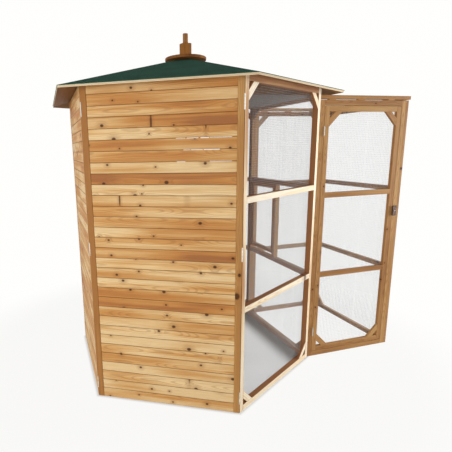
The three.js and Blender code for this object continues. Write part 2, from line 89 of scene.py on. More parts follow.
def number_node(tree, operation, a, b=None, c=None):
    """A Math node on sockets or plain numbers."""
    node = tree.nodes.new("ShaderNodeMath")
    node.operation = operation
    for socket, value in zip(node.inputs, (a, b, c)):
        if hasattr(value, "is_linked"):
            tree.links.new(value, socket)
        elif value is not None:
            socket.default_value = value
    return node.outputs[0]


def span_node(tree, value, low, high, to_low, to_high):
    """value carried smoothly from low..high to to_low..to_high."""
    node = tree.nodes.new("ShaderNodeMapRange")
    node.interpolation_type = "SMOOTHSTEP"
    node.clamp = True
    for name, v in zip(("From Min", "From Max", "To Min", "To Max"), (low, high, to_low, to_high)):
        node.inputs[name].default_value = v
    tree.links.new(value, node.inputs["Value"])
    return node.outputs[0]


def seen_by_the_eye(tree):
    """1 where the camera looks, straight or in a glossy or clear surface, and 0 for all else."""
    path = tree.nodes.new("ShaderNodeLightPath")
    looked = number_node(tree, "MAXIMUM", path.outputs["Is Camera Ray"], path.outputs["Is Glossy Ray"])
    return number_node(tree, "MAXIMUM", looked, path.outputs["Is Transmission Ray"])


def vector_node(tree, operation, vector, by=None):
    """A Vector Math node on a socket and, where it takes a second vector, a plain one."""
    node = tree.nodes.new("ShaderNodeVectorMath")
    node.operation = operation
    tree.links.new(vector, node.inputs[0])
    if by is not None:
        node.inputs[1].default_value = by
    return node.outputs["Value" if operation in ("DOT_PRODUCT", "LENGTH") else "Vector"]


def new_material(name):
    """A material made of nodes, with its tree and its shader."""
    material = bpy.data.materials.new(name)
    material.use_nodes = True
    return material, material.node_tree, material.node_tree.nodes["Principled BSDF"]


def seamless_floor():
    """Pale card. Inside the hexagon a painted pool of light makes it paler, but for a band along the entry
    wall. Outside its walls it fades to the white background and keeps a faint shadow, which ends further
    out."""
    deselect()
    bpy.ops.mesh.primitive_plane_add(size=FLOOR_SIZE)
    floor = bpy.context.active_object
    floor.name = "studio_floor"
    paper, tree, card = new_material("floor paper")
    card.inputs["Base Color"].default_value = CARD_GREY
    card.inputs["Roughness"].default_value = 0.9
    card.inputs["Specular IOR Level"].default_value = 0.1
    where = tree.nodes.new("ShaderNodeTexCoord")
    away = vector_node(tree, "SUBTRACT", where.outputs["Object"], (hub.x, hub.y, 0))
    turns = [number * math.pi / 3 for number in range(3)]
    squares = [vector_node(tree, "DOT_PRODUCT", away, (math.sin(t), -math.cos(t), 0)) for t in turns]
    widest = number_node(tree, "ABSOLUTE", squares[0])
    for square in squares[1:]:
        widest = number_node(tree, "MAXIMUM", widest, number_node(tree, "ABSOLUTE", square))
    outside = span_node(tree, widest, FADE_NEAR, FADE_FAR, 0.0, 1 - SHADE_LEFT)
    # painted pool of light inside the hexagon, fading out towards the entry wall
    inside = span_node(tree, squares[2], POOL_NEAR, POOL_FAR, PAINTED_POOL_SHARE, 0.0)
    radius = vector_node(tree, "LENGTH", away)
    far_out = span_node(tree, radius, SHADE_NEAR, SHADE_FAR, 0.0, SHADE_LEFT)
    reach = number_node(tree, "ADD", number_node(tree, "MAXIMUM", outside, inside), far_out)
    white = tree.nodes.new("ShaderNodeEmission")
    white.inputs["Color"].default_value = PAPER_WHITE
    fade = tree.nodes.new("ShaderNodeMixShader")
    tree.links.new(number_node(tree, "MULTIPLY", reach, seen_by_the_eye(tree)), fade.inputs[0])
    tree.links.new(card.outputs[0], fade.inputs[1])
    tree.links.new(white.outputs[0], fade.inputs[2])
    tree.links.new(fade.outputs[0], tree.nodes["Material Output"].inputs["Surface"])
    floor.data.materials.append(paper)


def daylight():
    world = bpy.data.worlds.new("studio daylight")
    bpy.context.scene.world = world
    world.use_nodes = True
    tree = world.node_tree
    sky = tree.nodes["Background"]
    sky.inputs["Color"].default_value = PAPER_WHITE
    strength = number_node(tree, "MULTIPLY_ADD", seen_by_the_eye(tree), 1.0 - SKY_LIGHT, SKY_LIGHT)
    tree.links.new(strength, sky.inputs["Strength"])


def camera():
    lens = bpy.data.cameras.new("eye_height_camera")
    lens.sensor_width = SENSOR_WIDTH * 1000
    lens.lens = FOCAL_PIXELS * SENSOR_WIDTH * 1000 / IMAGE_WIDTH
    lens.shift_x = (IMAGE_WIDTH / 2 - VIEW_CENTRE[0]) / IMAGE_WIDTH
    lens.shift_y = (VIEW_CENTRE[1] - IMAGE_WIDTH / 2) / IMAGE_WIDTH
    lens.clip_start, lens.clip_end = 0.05, 200
    holder = bpy.data.objects.new("eye_height_camera", lens)
    bpy.context.scene.collection.objects.link(holder)
    holder.location = EYE
    turned = Matrix.Rotation(LOOK_LEFT, 4, "Z") @ Matrix.Rotation(math.pi / 2 - LOOK_DOWN, 4, "X")
    holder.rotation_euler = (turned @ Matrix.Rotation(-LEAN, 4, "Z")).to_euler()
    bpy.context.scene.camera = holder


seamless_floor()
daylight()
camera()
soft_light("front_light", (-1.6, -6.5, 1.35), (-0.2, -0.6, 0.3), 4.0, 2.2, 222, (1.0, 0.98, 0.93))
soft_light("right_light", (6.15, 1.72, 1.6), (0.4, -0.6, 0.6), 1.6, 2.4, 420, (1.0, 0.98, 0.94))
soft_light("left_light", (-6.0, -3.6, 2.0), (-1.0, -0.6, 0.8), 3.0, 2.6, 104, (1.0, 0.98, 0.93))
bpy.context.scene.view_settings.view_transform = "Standard"


# Clad wall stiles: the upright fir posts at the ends of the three boarded walls, 40 mm square,
# planed, with eased edges, and mitred where two walls of the hexagon meet.
APOTHEM = hub.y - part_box("front_wall_stile_left")[0].y
SIXTH = math.pi / 3
SIDE = 2 * APOTHEM * math.tan(SIXTH / 2)
WALL_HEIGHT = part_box("front_wall_stile_left")[1].z
SEAT = 0.0003
FACE = 0.040
DEPTH = 0.040
EASE = 0.0014
OPEN_JOINT = 0.0030


def wall_place(number):
    """Where wall number stands, counted round from the front: x along it, y inwards, z up."""
    turned = Matrix.Rotation(number * SIXTH, 4, "Z") @ Matrix.Translation((0, -APOTHEM, 0))
    return Matrix.Translation((hub.x, hub.y, 0)) @ turned


def blend_node(tree, share, first, second):
    """A colour between first and second, which are sockets or colours."""
    node = tree.nodes.new("ShaderNodeMix")
    node.data_type = "RGBA"
    for name, value in ((0, share), (6, first), (7, second)):
        if hasattr(value, "is_linked"):
            tree.links.new(value, node.inputs[name])
        else:
            node.inputs[name].default_value = value
    return node.outputs[2]


def kept_node(tree, name, output):
    """What a mesh keeps under a name."""
    kept = tree.nodes.new("ShaderNodeAttribute")
    kept.attribute_name = name
    return kept.outputs[output]


def grain_nodes(tree):
    """Where a point lies in its own stick, whole and as along, across and inwards."""
    grain = kept_node(tree, "grain", "Vector")
    parts = tree.nodes.new("ShaderNodeSeparateXYZ")
    tree.links.new(grain, parts.inputs[0])
    return grain, parts.outputs


def streak_node(tree, vector, seed, along, across, detail):
    """Noise drawn out along the grain; each stick has its own, by its seed."""
    stretched = vector_node(tree, "MULTIPLY", vector, (along, across, across))
    noise = tree.nodes.new("ShaderNodeTexNoise")
    noise.noise_dimensions = "4D"
    noise.inputs["Scale"].default_value = 1.0
    noise.inputs["Detail"].default_value = detail
    tree.links.new(stretched, noise.inputs["Vector"])
    tree.links.new(seed, noise.inputs["W"])
    return noise.outputs["Fac"]


# Streaks as along, across and detail; the pith, the rings' bend and the relief in metres; the
# rings' waves in radians to a metre; colours as seen on screen; the rest as shares.
WANDER, BROAD, FIBRE, DRIFT = (1.1, 3.0, 2.0), (1.3, 34.0, 3.0), (9.0, 420.0, 3.0), (1.7, 6.0, 1.0)
PITH_SIDE, PITH_WANDER, PITH_DEPTH = 0.12, 0.12, -0.02
RING_WAVES, RING_BEND = 1150.0, 0.006
KNOT_DRAWN, KNOT_LEAST, KNOT_MORE = 0.8, 0.034, 0.05
KNOT_RIM, HALO_RIM = (0.55, 1.15), (0.6, 4.2)
SPIKES, SPIKE_SPREAD, SPIKE_GIRTH, SPIKE_SHADE = 0.6, 0.1, 0.5, 0.9
STREAK_SHADE, RING_SHADE, FIBRE_SHADE, HALO_SHADE, KNOT_SHADE = 0.42, 0.3, 0.22, 0.35, 0.9
HALO_BROWN, KNOT_BROWN = (150, 92, 44), (66, 34, 18)
SEED_STEP = 97.0
GRAIN_RELIEF = 0.0004


def knot_nodes(tree, along, across, seed, knots, spread, share, girth):
    """Knots, about knots of them to a metre, and the grain that swerves round them. A spread under
    1 draws them out across the stick, as branches are that the saw has cut lengthwise, and girth
    is their width beside a round knot's."""
    spots = tree.nodes.new("ShaderNodeCombineXYZ")
    tree.links.new(number_node(tree, "MULTIPLY_ADD", along, KNOT_DRAWN, seed), spots.inputs[0])
    tree.links.new(number_node(tree, "MULTIPLY_ADD", across, spread, seed), spots.inputs[1])
    cells = tree.nodes.new("ShaderNodeTexVoronoi")
    cells.voronoi_dimensions = "2D"
    cells.inputs["Scale"].default_value = knots
    tree.links.new(spots.outputs[0], cells.inputs["Vector"])
    pick = tree.nodes.new("ShaderNodeSeparateColor")
    tree.links.new(cells.outputs["Color"], pick.inputs[0])
    present = number_node(tree, "LESS_THAN", pick.outputs["Green"], share)
    luck = number_node(tree, "POWER", pick.outputs["Red"], 2.0)
    size = number_node(tree, "MULTIPLY_ADD", luck, KNOT_MORE * girth, KNOT_LEAST * girth)
    away = number_node(tree, "DIVIDE", cells.outputs["Distance"], size)
    return [
        number_node(tree, "MULTIPLY", span_node(tree, away, *rim, 1.0, 0.0), present)
        for rim in (KNOT_RIM, HALO_RIM)
    ]


def bump_node(tree, shader, height, strength, distance):
    bump = tree.nodes.new("ShaderNodeBump")
    bump.inputs["Strength"].default_value = strength
    bump.inputs["Distance"].default_value = distance
    tree.links.new(height, bump.inputs["Height"])
    tree.links.new(bump.outputs[0], shader.inputs["Normal"])


def wood(name, tones, late, knots, knot_share, shine=0.12):
    """Planed softwood: growth rings round a pith below the face, streaks, knots and fibres.
    tones are its colours from the palest stick to the darkest, late is the ring's dark line."""
    material, tree, shader = new_material(name)
    grain, (along, across, inward) = grain_nodes(tree)
    own = kept_node(tree, "seed", "Fac")
    seed = number_node(tree, "MULTIPLY", own, SEED_STEP)

    round_knot, halo = knot_nodes(tree, along, across, seed, knots, 1.0, knot_share, 1.0)
    spike, spike_halo = knot_nodes(
        tree, along, across, seed, knots * SPIKES, SPIKE_SPREAD, knot_share, SPIKE_GIRTH)
    knot = number_node(tree, "MAXIMUM", round_knot, number_node(tree, "MULTIPLY", spike, SPIKE_SHADE))
    swirl = number_node(tree, "MAXIMUM", halo, spike_halo)

    wander = streak_node(tree, grain, seed, *WANDER)
    side = number_node(tree, "MULTIPLY_ADD", own, PITH_SIDE, -PITH_SIDE / 2)
    sideways = number_node(tree, "ADD", across, side)
    depth = number_node(tree, "MULTIPLY_ADD", wander, PITH_WANDER, PITH_DEPTH)
    below = number_node(tree, "ADD", depth, inward)
    wide, deep = (number_node(tree, "MULTIPLY", part, part) for part in (sideways, below))
    pith = number_node(tree, "SQRT", number_node(tree, "ADD", wide, deep))
    bent = number_node(tree, "MULTIPLY_ADD", swirl, RING_BEND, pith)
    wave = number_node(tree, "SINE", number_node(tree, "MULTIPLY", bent, RING_WAVES))
    rings = span_node(tree, wave, 0.1, 1.0, 0.0, 1.0)
    broad = streak_node(tree, grain, seed, *BROAD)
    fibre = streak_node(tree, grain, seed, *FIBRE)

    drift = span_node(tree, streak_node(tree, grain, seed, *DRIFT), 0.32, 0.68, -0.2, 0.2)
    drifted = number_node(tree, "ADD", drift, kept_node(tree, "tone", "Fac"))
    ramp = tree.nodes.new("ShaderNodeValToRGB")
    ramp.color_ramp.elements[0].color = colour(*tones[0])
    ramp.color_ramp.elements[1].color = colour(*tones[-1])
    for i, tone in enumerate(tones[1:-1], 1):
        ramp.color_ramp.elements.new(i / (len(tones) - 1)).color = colour(*tone)
    streaks = span_node(tree, broad, 0.3, 0.7, -0.5, 0.5)
    tree.links.new(number_node(tree, "MULTIPLY_ADD", streaks, STREAK_SHADE, drifted), ramp.inputs[0])
    face = ramp.outputs[0]
    for share, shade in (
            (number_node(tree, "MULTIPLY", rings, RING_SHADE), late),
            (span_node(tree, fibre, 0.35, 0.7, 0.0, FIBRE_SHADE), late),
            (number_node(tree, "MULTIPLY", swirl, HALO_SHADE), HALO_BROWN),
            (number_node(tree, "MULTIPLY", knot, KNOT_SHADE), KNOT_BROWN)):
        face = blend_node(tree, share, face, colour(*shade))
    tree.links.new(face, shader.inputs["Base Color"])
    tree.links.new(number_node(tree, "MULTIPLY_ADD", fibre, 0.25, 0.42), shader.inputs["Roughness"])
    shader.inputs["Specular IOR Level"].default_value = shine
    relief = number_node(tree, "ADD", number_node(tree, "MULTIPLY", rings, 0.35), fibre)
    bump_node(tree, shader, number_node(tree, "SUBTRACT", relief, knot), 0.5, GRAIN_RELIEF)
    return material


def cube(name, size, middle=(0, 0, 0)):
    deselect()
    bpy.ops.mesh.primitive_cube_add(size=1, location=middle, scale=size)
    block = bpy.context.active_object
    block.name = name
    bpy.ops.object.transform_apply(location=True, rotation=True, scale=True)
    return block


def trim(cuts=(), ease=0.0):
    """Takes from the active object what lies beyond each cut's point on the side that the cut's
    direction shows, and eases all its edges."""
    bpy.ops.object.mode_set(mode="EDIT")
    for point, away in cuts:
        bpy.ops.mesh.select_all(action="SELECT")
        bpy.ops.mesh.bisect(plane_co=point, plane_no=away, use_fill=True, clear_outer=True)
    if ease:
        bpy.ops.mesh.select_all(action="SELECT")
        bpy.ops.mesh.bevel(offset=ease, segments=2, affect="EDGES")
    bpy.ops.object.mode_set(mode="OBJECT")


def timber(name, low, high, along="x", slant=0.0, cuts=(), tone=None, ease=EASE):
    """A planed stick that fills a box given in its panel's axes, its grain along one of them.
    slant turns it about its middle in the panel's plane, before its ends are cut."""
    low, high = Vector(low), Vector(high)
    middle = (low + high) / 2
    turned = Matrix.Rotation(slant, 4, "Y")
    stick = cube(name, high - low)
    stick.data.transform(Matrix.Translation(middle) @ turned)
    trim(cuts, ease)
    mark_grain(stick, middle, turned, along, tone)
    return stick


def mark_grain(stick, middle, turned, along="x", tone=None):
    """Keeps on the mesh where each point lies in its own stick, and the stick's tone."""
    dice = random.Random(stick.name)
    order = {"x": (0, 2, 1), "y": (1, 0, 2), "z": (2, 0, 1)}[along]
    back = (Matrix.Translation(middle) @ turned).inverted()
    places = [back @ v.co for v in stick.data.vertices]
    own = [[p[i] for i in order] for p in places]
    grain = stick.data.attributes.new("grain", "FLOAT_VECTOR", "POINT")
    grain.data.foreach_set("vector", np.array(own, np.float32).ravel())
    tone = dice.uniform(0.2, 0.8) if tone is None else tone
    for key, value in (("seed", dice.random()), ("tone", tone)):
        held = stick.data.attributes.new(key, "FLOAT", "POINT")
        held.data.foreach_set("value", np.full(len(places), value, np.float32))


def gather(name, sticks, place, material):
    """Makes sticks one piece, stood in its place in the row frame."""
    deselect()
    for stick in sticks:
        stick.select_set(True)
    piece = sticks[0]
    bpy.context.view_layer.objects.active = piece
    if len(sticks) > 1:
        bpy.ops.object.join()
    piece.name = piece.data.name = name
    piece.data.transform(place)
    piece.data.materials.clear()
    piece.data.materials.append(material)
    return piece


def fit(piece, body, slot, *replaced):
    if replaced:
        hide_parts(*replaced)
    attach(piece, body)


fir = wood("planed fir", [(206, 164, 106), (190, 142, 84), (168, 116, 64)], (140, 86, 42), 3.0, 0.4)
CLAD_WALLS = {"front_wall": 0, "back_left_wall": 4, "left_wall": 5}


def mitre(side, x, y=0):
    """The upright cut where a wall or roof sheet meets the next one, through a point in its panel."""
    return Vector((x, y, 0)), (side * math.cos(SIXTH / 2), math.sin(SIXTH / 2), 0)


POST_TONES = {"front_wall_left_post": 1.1, "front_wall_right_post": 0.45, "right_wall_post_-1": 2.6}


def hexagon_stile(name, side):
    """An upright of one of the hexagon's walls, side -1 at its left end and 1 at its right."""
    inner, outer = side * (SIDE / 2 - FACE), side * SIDE / 2
    low = (min(inner, outer), 0, 0)
    high = (max(inner, outer), DEPTH, WALL_HEIGHT)
    cuts = [mitre(side, side * (SIDE / 2 - OPEN_JOINT / 2))]
    return timber(name, low, high, "z", cuts=cuts, tone=POST_TONES.get(name))


for wall, number in CLAD_WALLS.items():
    for side, word in ((-1, "left"), (1, "right")):
        stile = hexagon_stile(f"{wall}_{word}_post", side)
        piece = gather(stile.name, [stile], wall_place(number), fir)
        fit(piece, "aviary", "fir", f"{wall}_stile_{word}")


# Backing behind the boards: in each clad wall two upright cleats against the posts and four
# level battens between them, all fir, which the boards are pinned to from outside.
RAILS = [(WALL_HEIGHT - FACE) * i / 3 for i in range(4)]
BOARD_FACE, BOARD_BACK = 0.002, 0.014
CLEAT = 0.030
BOARD_HALF = SIDE / 2 - FACE - SEAT


def backing(wall, place):
    front, half = BOARD_BACK + SEAT, BOARD_HALF
    cleats = [
        timber(f"{wall}_cleat_{side}", (min(a, b), front, 0), (max(a, b), DEPTH, WALL_HEIGHT), "z")
        for side, a, b in ((-1, -half, CLEAT - half), (1, half - CLEAT, half))
    ]
    inner = half - CLEAT - SEAT
    battens = [
        timber(f"{wall}_batten_{i}", (-inner, front, z), (inner, DEPTH, z + FACE))
        for i, z in enumerate(RAILS)
    ]
    piece = gather(f"{wall}_cleats_and_battens", cleats + battens, place, fir)
    fit(piece, "aviary", "fir", f"{wall}_backing")


for wall, number in CLAD_WALLS.items():
    backing(wall, wall_place(number))


# Boards: 31 level tongued and grooved softwood boards to a wall, 12 mm thick with eased edges,
# knotty, each of its own colour; on the front wall the tones also paint light and shade, darker
# towards the top as the eave's shade and paler towards the bottom. Three joints at eye height have
# shrunk and let light through.
BOARDS = 31
BOARD_PITCH = WALL_HEIGHT / BOARDS
JOINT = 0.0014
TONGUE = 0.0055
TONGUE_SHOULDER = 0.004
BOARD_EASE = 0.0021
FLAT = 0.99
PALE, HONEY, TAN, AMBER, RUSSET = 0.06, 0.27, 0.45, 0.64, 0.88
# The front wall's boards by number from the bottom, their tones at the left and right end: partly each
# board's own colour, partly painted light and shade, darker towards the top under the eave and paler towards
# the bottom.
FRONT_TONES_AND_EAVE_SHADE = {
    1: (HONEY, PALE), 2: (PALE, PALE), 3: (PALE, PALE), 4: (PALE, PALE), 5: (HONEY, TAN),
    6: (HONEY, PALE), 7: (PALE, PALE), 8: (PALE, PALE), 9: (PALE, HONEY), 10: (HONEY, HONEY),
    11: (RUSSET, AMBER), 12: (TAN, HONEY), 13: (PALE, HONEY), 14: (HONEY, HONEY), 15: (PALE, PALE),
    16: (AMBER, RUSSET), 17: (PALE, HONEY), 18: (HONEY, AMBER), 19: (PALE, TAN), 20: (AMBER, PALE),
    21: (AMBER, PALE), 22: (PALE, PALE), 23: (RUSSET, RUSSET), 24: (PALE, HONEY), 25: (HONEY, TAN),
    26: (TAN, TAN), 27: (PALE, HONEY), 28: (TAN, RUSSET), 29: (HONEY, AMBER), 30: (TAN, TAN),
    31: (HONEY, TAN),
}
# By board: the slits over it, each from x to x, and how wide it gapes.
SHRUNK_JOINTS = {
    24: [(0.100, 0.155, 0.0020), (0.300, 0.440, 0.0009)],
    25: [(0.143, 0.185, 0.0010), (0.188, 0.260, 0.0018), (0.265, 0.360, 0.0022)],
    26: [(0.098, 0.155, 0.0013), (0.163, 0.235, 0.0021), (0.245, 0.297, 0.0030),
         (0.302, 0.455, 0.0012)],
}
UNMOVED = Matrix.Identity(4)
COMMON_TONES = (PALE, HONEY, HONEY, TAN, AMBER)
# Colour and band of the painted shade and dust along each board's long edges, in metres from the edge.
JOINT_DUST_AND_SHADE, JOINT_SHADE_FAR, JOINT_SHADE_NEAR = (104, 60, 30), 0.0042, 0.0012


def select_faces(piece, wanted):
    """Selects, in edit mode, the faces whose normal passes the test."""
    bpy.ops.object.mode_set(mode="OBJECT")
    bpy.context.tool_settings.mesh_select_mode = (False, False, True)
    mesh = piece.data
    for group in (mesh.vertices, mesh.edges, mesh.polygons):
        group.foreach_set("select", [False] * len(group))
    for face in mesh.polygons:
        face.select = wanted(face)
    bpy.ops.object.mode_set(mode="EDIT")


def plain_board():
    """One board lying along x with its lower edge at z = 0, tongue up and groove down."""
    height = BOARD_PITCH - JOINT
    size = (2 * BOARD_HALF, BOARD_BACK - BOARD_FACE, height)
    board = cube("pattern_board", size, (0, (BOARD_FACE + BOARD_BACK) / 2, height / 2))
    select_faces(board, lambda face: abs(face.normal.y) > FLAT)
    bpy.ops.mesh.bevel(offset=BOARD_EASE, segments=2, affect="EDGES")
    select_faces(board, lambda face: face.normal.z > FLAT)
    bpy.ops.mesh.inset(thickness=TONGUE_SHOULDER - BOARD_EASE)
    bpy.ops.mesh.extrude_region_move(TRANSFORM_OT_translate={"value": (0, 0, TONGUE)})
    select_faces(board, lambda face: face.normal.z < -FLAT)
    bpy.ops.mesh.inset(thickness=TONGUE_SHOULDER - BOARD_EASE - SEAT)
    bpy.ops.mesh.extrude_region_move(TRANSFORM_OT_translate={"value": (0, 0, TONGUE + SEAT)})
    bpy.ops.object.mode_set(mode="OBJECT")
    return board


def copied(piece, name):
    twin = piece.copy()
    twin.data = piece.data.copy()
    twin.name = name
    bpy.context.scene.collection.objects.link(twin)
    return twin


def carve(piece, cutter):
    """Takes the cutter's shape out of the piece."""
    cut = piece.modifiers.new("carve", "BOOLEAN")
    cut.operation = "DIFFERENCE"
    cut.object = cutter
    deselect()
    piece.select_set(True)
    bpy.context.view_layer.objects.active = piece
    bpy.ops.object.modifier_apply(modifier=cut.name)
    bpy.data.objects.remove(cutter)


def shrink(board, x0, x1, gap):
    """Takes the tongue and a sliver of the board's upper edge away between x0 and x1."""
    middle = ((x0 + x1) / 2, 0, BOARD_PITCH - JOINT - gap / 2 + TONGUE)
    carve(board, cube("cutter", (x1 - x0, 2 * DEPTH, gap + 2 * TONGUE), middle))


def boarding(wall, place, tones, shrunk):
    boards = []
    for i in range(1, BOARDS + 1):
        board = copied(pattern_board, f"{wall}_board_{i}")
        for x0, x1, gap in shrunk.get(i, []):
            shrink(board, x0, x1, gap)
        dice = random.Random(board.name)
        left, right = tones.get(i, (dice.choice(COMMON_TONES), dice.choice(COMMON_TONES)))
        mark_grain(board, Vector((0, 0, BOARD_PITCH / 2)), UNMOVED, "x", left)
        for point, vertex in zip(board.data.attributes["tone"].data, board.data.vertices):
            point.value += (right - left) * (0.5 + vertex.co.x / BOARD_HALF / 2)
        board.data.transform(Matrix.Translation((0, 0, (i - 1) * BOARD_PITCH)))
        boards.append(board)
    piece = gather(f"{wall}_cladding", boards, place, cladding)
    fit(piece, "aviary", "cladding", f"{wall}_boards")


def across_nodes(material):
    """A wood's tree, its colour's input, what that input has now, and how far from its stick's
    middle a point lies."""
    tree = material.node_tree
    base = tree.nodes["Principled BSDF"].inputs["Base Color"]
    across = grain_nodes(tree)[1][1]
    return tree, base, base.links[0].from_socket, number_node(tree, "ABSOLUTE", across)


def dust_and_shade_on_joints(material):
    """Painted shade and dust along the boards' long edges, darkest nearest the edge."""
    tree, base, face, from_middle = across_nodes(material)
    edge = BOARD_PITCH / 2
    joint_shade_share = span_node(tree, from_middle, edge - JOINT_SHADE_FAR, edge - JOINT_SHADE_NEAR, 0.0, 0.5)
    tree.links.new(blend_node(tree, joint_shade_share, face, colour(*JOINT_DUST_AND_SHADE)), base)


cladding = wood(
    "knotty cladding",
    [(240, 210, 160), (226, 184, 126), (208, 154, 92), (198, 136, 74), (166, 108, 64)],
    (152, 98, 54), 6.5, 0.68)
dust_and_shade_on_joints(cladding)
pattern_board = plain_board()
for wall, number in CLAD_WALLS.items():
    seen = (FRONT_TONES_AND_EAVE_SHADE, SHRUNK_JOINTS) if wall == "front_wall" else ({}, {})
    boarding(wall, wall_place(number), *seen)
bpy.data.objects.remove(pattern_board)


# Net walls: in the right, back and entry walls four level rails between two posts, all flush
# outside, with a short brace screwed across each outer corner at 45 degrees.
BRACE_OUT, BRACE_IN, BRACE_DEPTH = 0.110, 0.050, 0.018
BRACE_PLACES = (("low_left", -1, -1), ("low_right", 1, -1), ("top_left", -1, 1), ("top_right", 1, 1))


def corner_brace(name, width, height, side, up):
    """A stick across a corner, cut to meet the stile and the rail."""
    corner = Vector((side * (width / 2 - FACE), 0, height - FACE if up > 0 else FACE))
    middle = corner + Vector((-side, 0, -up)) * (BRACE_OUT + BRACE_IN) / 4
    half = Vector((BRACE_OUT, 0, (BRACE_OUT - BRACE_IN) / 2 / math.sqrt(2)))
    low, high = middle - half, middle + half + Vector((0, BRACE_DEPTH, 0))
    touch = SEAT / 2
    cuts = [
        (corner - Vector((side * touch, 0, 0)), (side, 0, 0)),
        (corner - Vector((0, 0, up * touch)), (0, 0, up)),
    ]
    return timber(name, low, high, slant=side * up * math.pi / 4, cuts=cuts)


def panel_sticks(name, width, depth, height, posts):
    """A frame's sticks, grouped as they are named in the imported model."""
    half = width / 2 - FACE - SEAT
    rises = [(height - FACE) * i / 3 for i in range(4)]
    rails = [
        timber(f"{name}_rail_{i}", (-half, 0, z), (half, depth, z + FACE)) for i, z in enumerate(rises)
    ]
    braces = [
        corner_brace(f"{name}_brace_{word}", width, height, side, up) for word, side, up in BRACE_PLACES
    ]
    return {
        "stile_left": [posts[0]], "stile_right": [posts[1]],
        "bottom_rail": [rails[0], *braces[:2]], "lower_rail": [rails[1]],
        "upper_rail": [rails[2]], "top_rail": [rails[3], *braces[2:]],
    }


def stand_whole(name, groups, place, material):
    sticks = [stick for group in groups.values() for stick in group]
    fit(gather(f"{name}_timbers", sticks, place, material), "aviary", "fir", f"{name}_frame")


def stand_in_parts(name, groups, place, material, body):
    for ending, sticks in groups.items():
        piece = gather(f"{name}_{ending}_timber", sticks, place, material)
        fit(piece, body, "fir", f"{name}_{ending}")


def hexagon_panel(name):
    posts = [hexagon_stile(f"{name}_post_{side}", side) for side in (-1, 1)]
    return panel_sticks(name, SIDE, DEPTH, WALL_HEIGHT, posts)


def paint_sunlight_and_shade(groups):
    """Paints sunlight and shade into the tone: the outer faces, all but the head rail's under the eave,
    are painted pale as sunlit, and the other faces dark as painted shade.
    """
    for stick in (stick for sticks in groups.values() for stick in sticks):
        sunlit = not stick.name.endswith("_rail_3")
        for point, vertex in zip(stick.data.attributes["tone"].data, stick.data.vertices):
            share = point.value * PAINTED_SUN_SHARE
            # outer faces painted pale as sunlight, the other faces and the head rail's outer face dark as
            # painted shade
            point.value = share if sunlit and vertex.co.y < EASE / 8 else 1.1 - PAINTED_SUN_SHARE + share
    return groups


# The right wall's fir: its pale colours paint sunlight on the outer faces, its dark ones paint shade on the
# rest.
PAINTED_SUN_SHARE = 0.15
sun_painted_fir = wood("bleached fir", [(255, 247, 226), (250, 230, 194), (196, 150, 104), (158, 108, 72)],
                 (180, 128, 80), 3.0, 0.3)
stand_in_parts("right_wall", paint_sunlight_and_shade(hexagon_panel("right_wall")), wall_place(1), sun_painted_fir, "aviary")
stand_whole("back_wall", hexagon_panel("back_wall"), wall_place(3), fir)


# Entry wall: the hexagon's wall inside the porch. It is a net wall with a short post in its
# middle bay, beside the hatch through which birds are fed and caught.
HATCH_POST_LEFT = 0.005
entry_place = wall_place(2)
post_low, post_high = RAILS[1] + FACE + SEAT, RAILS[2] - SEAT
stand_whole("entry_wall", hexagon_panel("entry_wall"), entry_place, fir)
hatch_post = timber("hatch_post_timber", (HATCH_POST_LEFT, 0, post_low),
                    (HATCH_POST_LEFT + FACE, DEPTH, post_high), "z")
fit(gather("hatch_post_timber", [hatch_post], entry_place, fir), "aviary", "fir", "hatch_post")


# Nets of the hexagon: galvanised wire, 0.9 mm thick, welded at 14.5 mm centres and stapled over
# the inside of each frame. The level wires lie behind the upright ones.
WIRE = 0.0009
MESH_PITCH = 0.0145
NET_LAP = 0.008
NET_STAND_OFF = 0.0003


def cloud_node(tree, scale, detail):
    """Noise in the piece's own place."""
    noise = tree.nodes.new("ShaderNodeTexNoise")
    noise.inputs["Scale"].default_value = scale
    noise.inputs["Detail"].default_value = detail
    where = tree.nodes.new("ShaderNodeTexCoord")
    tree.links.new(where.outputs["Object"], noise.inputs["Vector"])
    return noise.outputs["Fac"]


def zinc_coat(name, scale, detail, dull, bright, metallic, smooth, rough):
    """Zinc on steel, clouded between two greys and between smooth and rough."""
    material, tree, shader = new_material(name)
    cloud = cloud_node(tree, scale, detail)
    tint = blend_node(tree, span_node(tree, cloud, 0.35, 0.65, 0, 1), colour(*dull), colour(*bright))
    tree.links.new(tint, shader.inputs["Base Color"])
    shader.inputs["Metallic"].default_value = metallic
    tree.links.new(span_node(tree, cloud, 0.3, 0.7, smooth, rough), shader.inputs["Roughness"])
    return material


def cylinder(name, sides, radius, depth, middle=(0, 0, 0), turned=(0, 0, 0)):
    deselect()
    bpy.ops.mesh.primitive_cylinder_add(
        vertices=sides, radius=radius, depth=depth, location=middle, rotation=turned)
    bar = bpy.context.active_object
    bar.name = name
    bpy.ops.object.transform_apply(location=True, rotation=True, scale=True)
    return bar


def wires(length, count, start, step, turned):
    """count equal wires, the first with its middle at start, each a step further on."""
    wire = cylinder("wire", 6, WIRE / 2, length, start, (0, turned, 0))
    row = wire.modifiers.new("row", "ARRAY")
    row.count = count
    row.use_relative_offset = False
    row.use_constant_offset = True
    row.constant_offset_displace = step
    bpy.ops.object.modifier_apply(modifier=row.name)
    return wire


def field_wires(x0, x1, z0, z1, y):
    """Upright and level wires over one field of a net, in line with the net's neighbouring fields."""
    across, up = int((x1 - x0) / MESH_PITCH), int((z1 - z0) / MESH_PITCH)
    left, low = (x0 + x1 - across * MESH_PITCH) / 2, (z0 + z1 - up * MESH_PITCH) / 2
    uprights = wires(z1 - z0, across + 1, (left, y + WIRE / 2, (z0 + z1) / 2), (MESH_PITCH, 0, 0), 0)
    levels = wires(x1 - x0, up + 1, ((x0 + x1) / 2, y + 1.5 * WIRE, low), (0, 0, MESH_PITCH), math.pi / 2)
    return [uprights, levels]


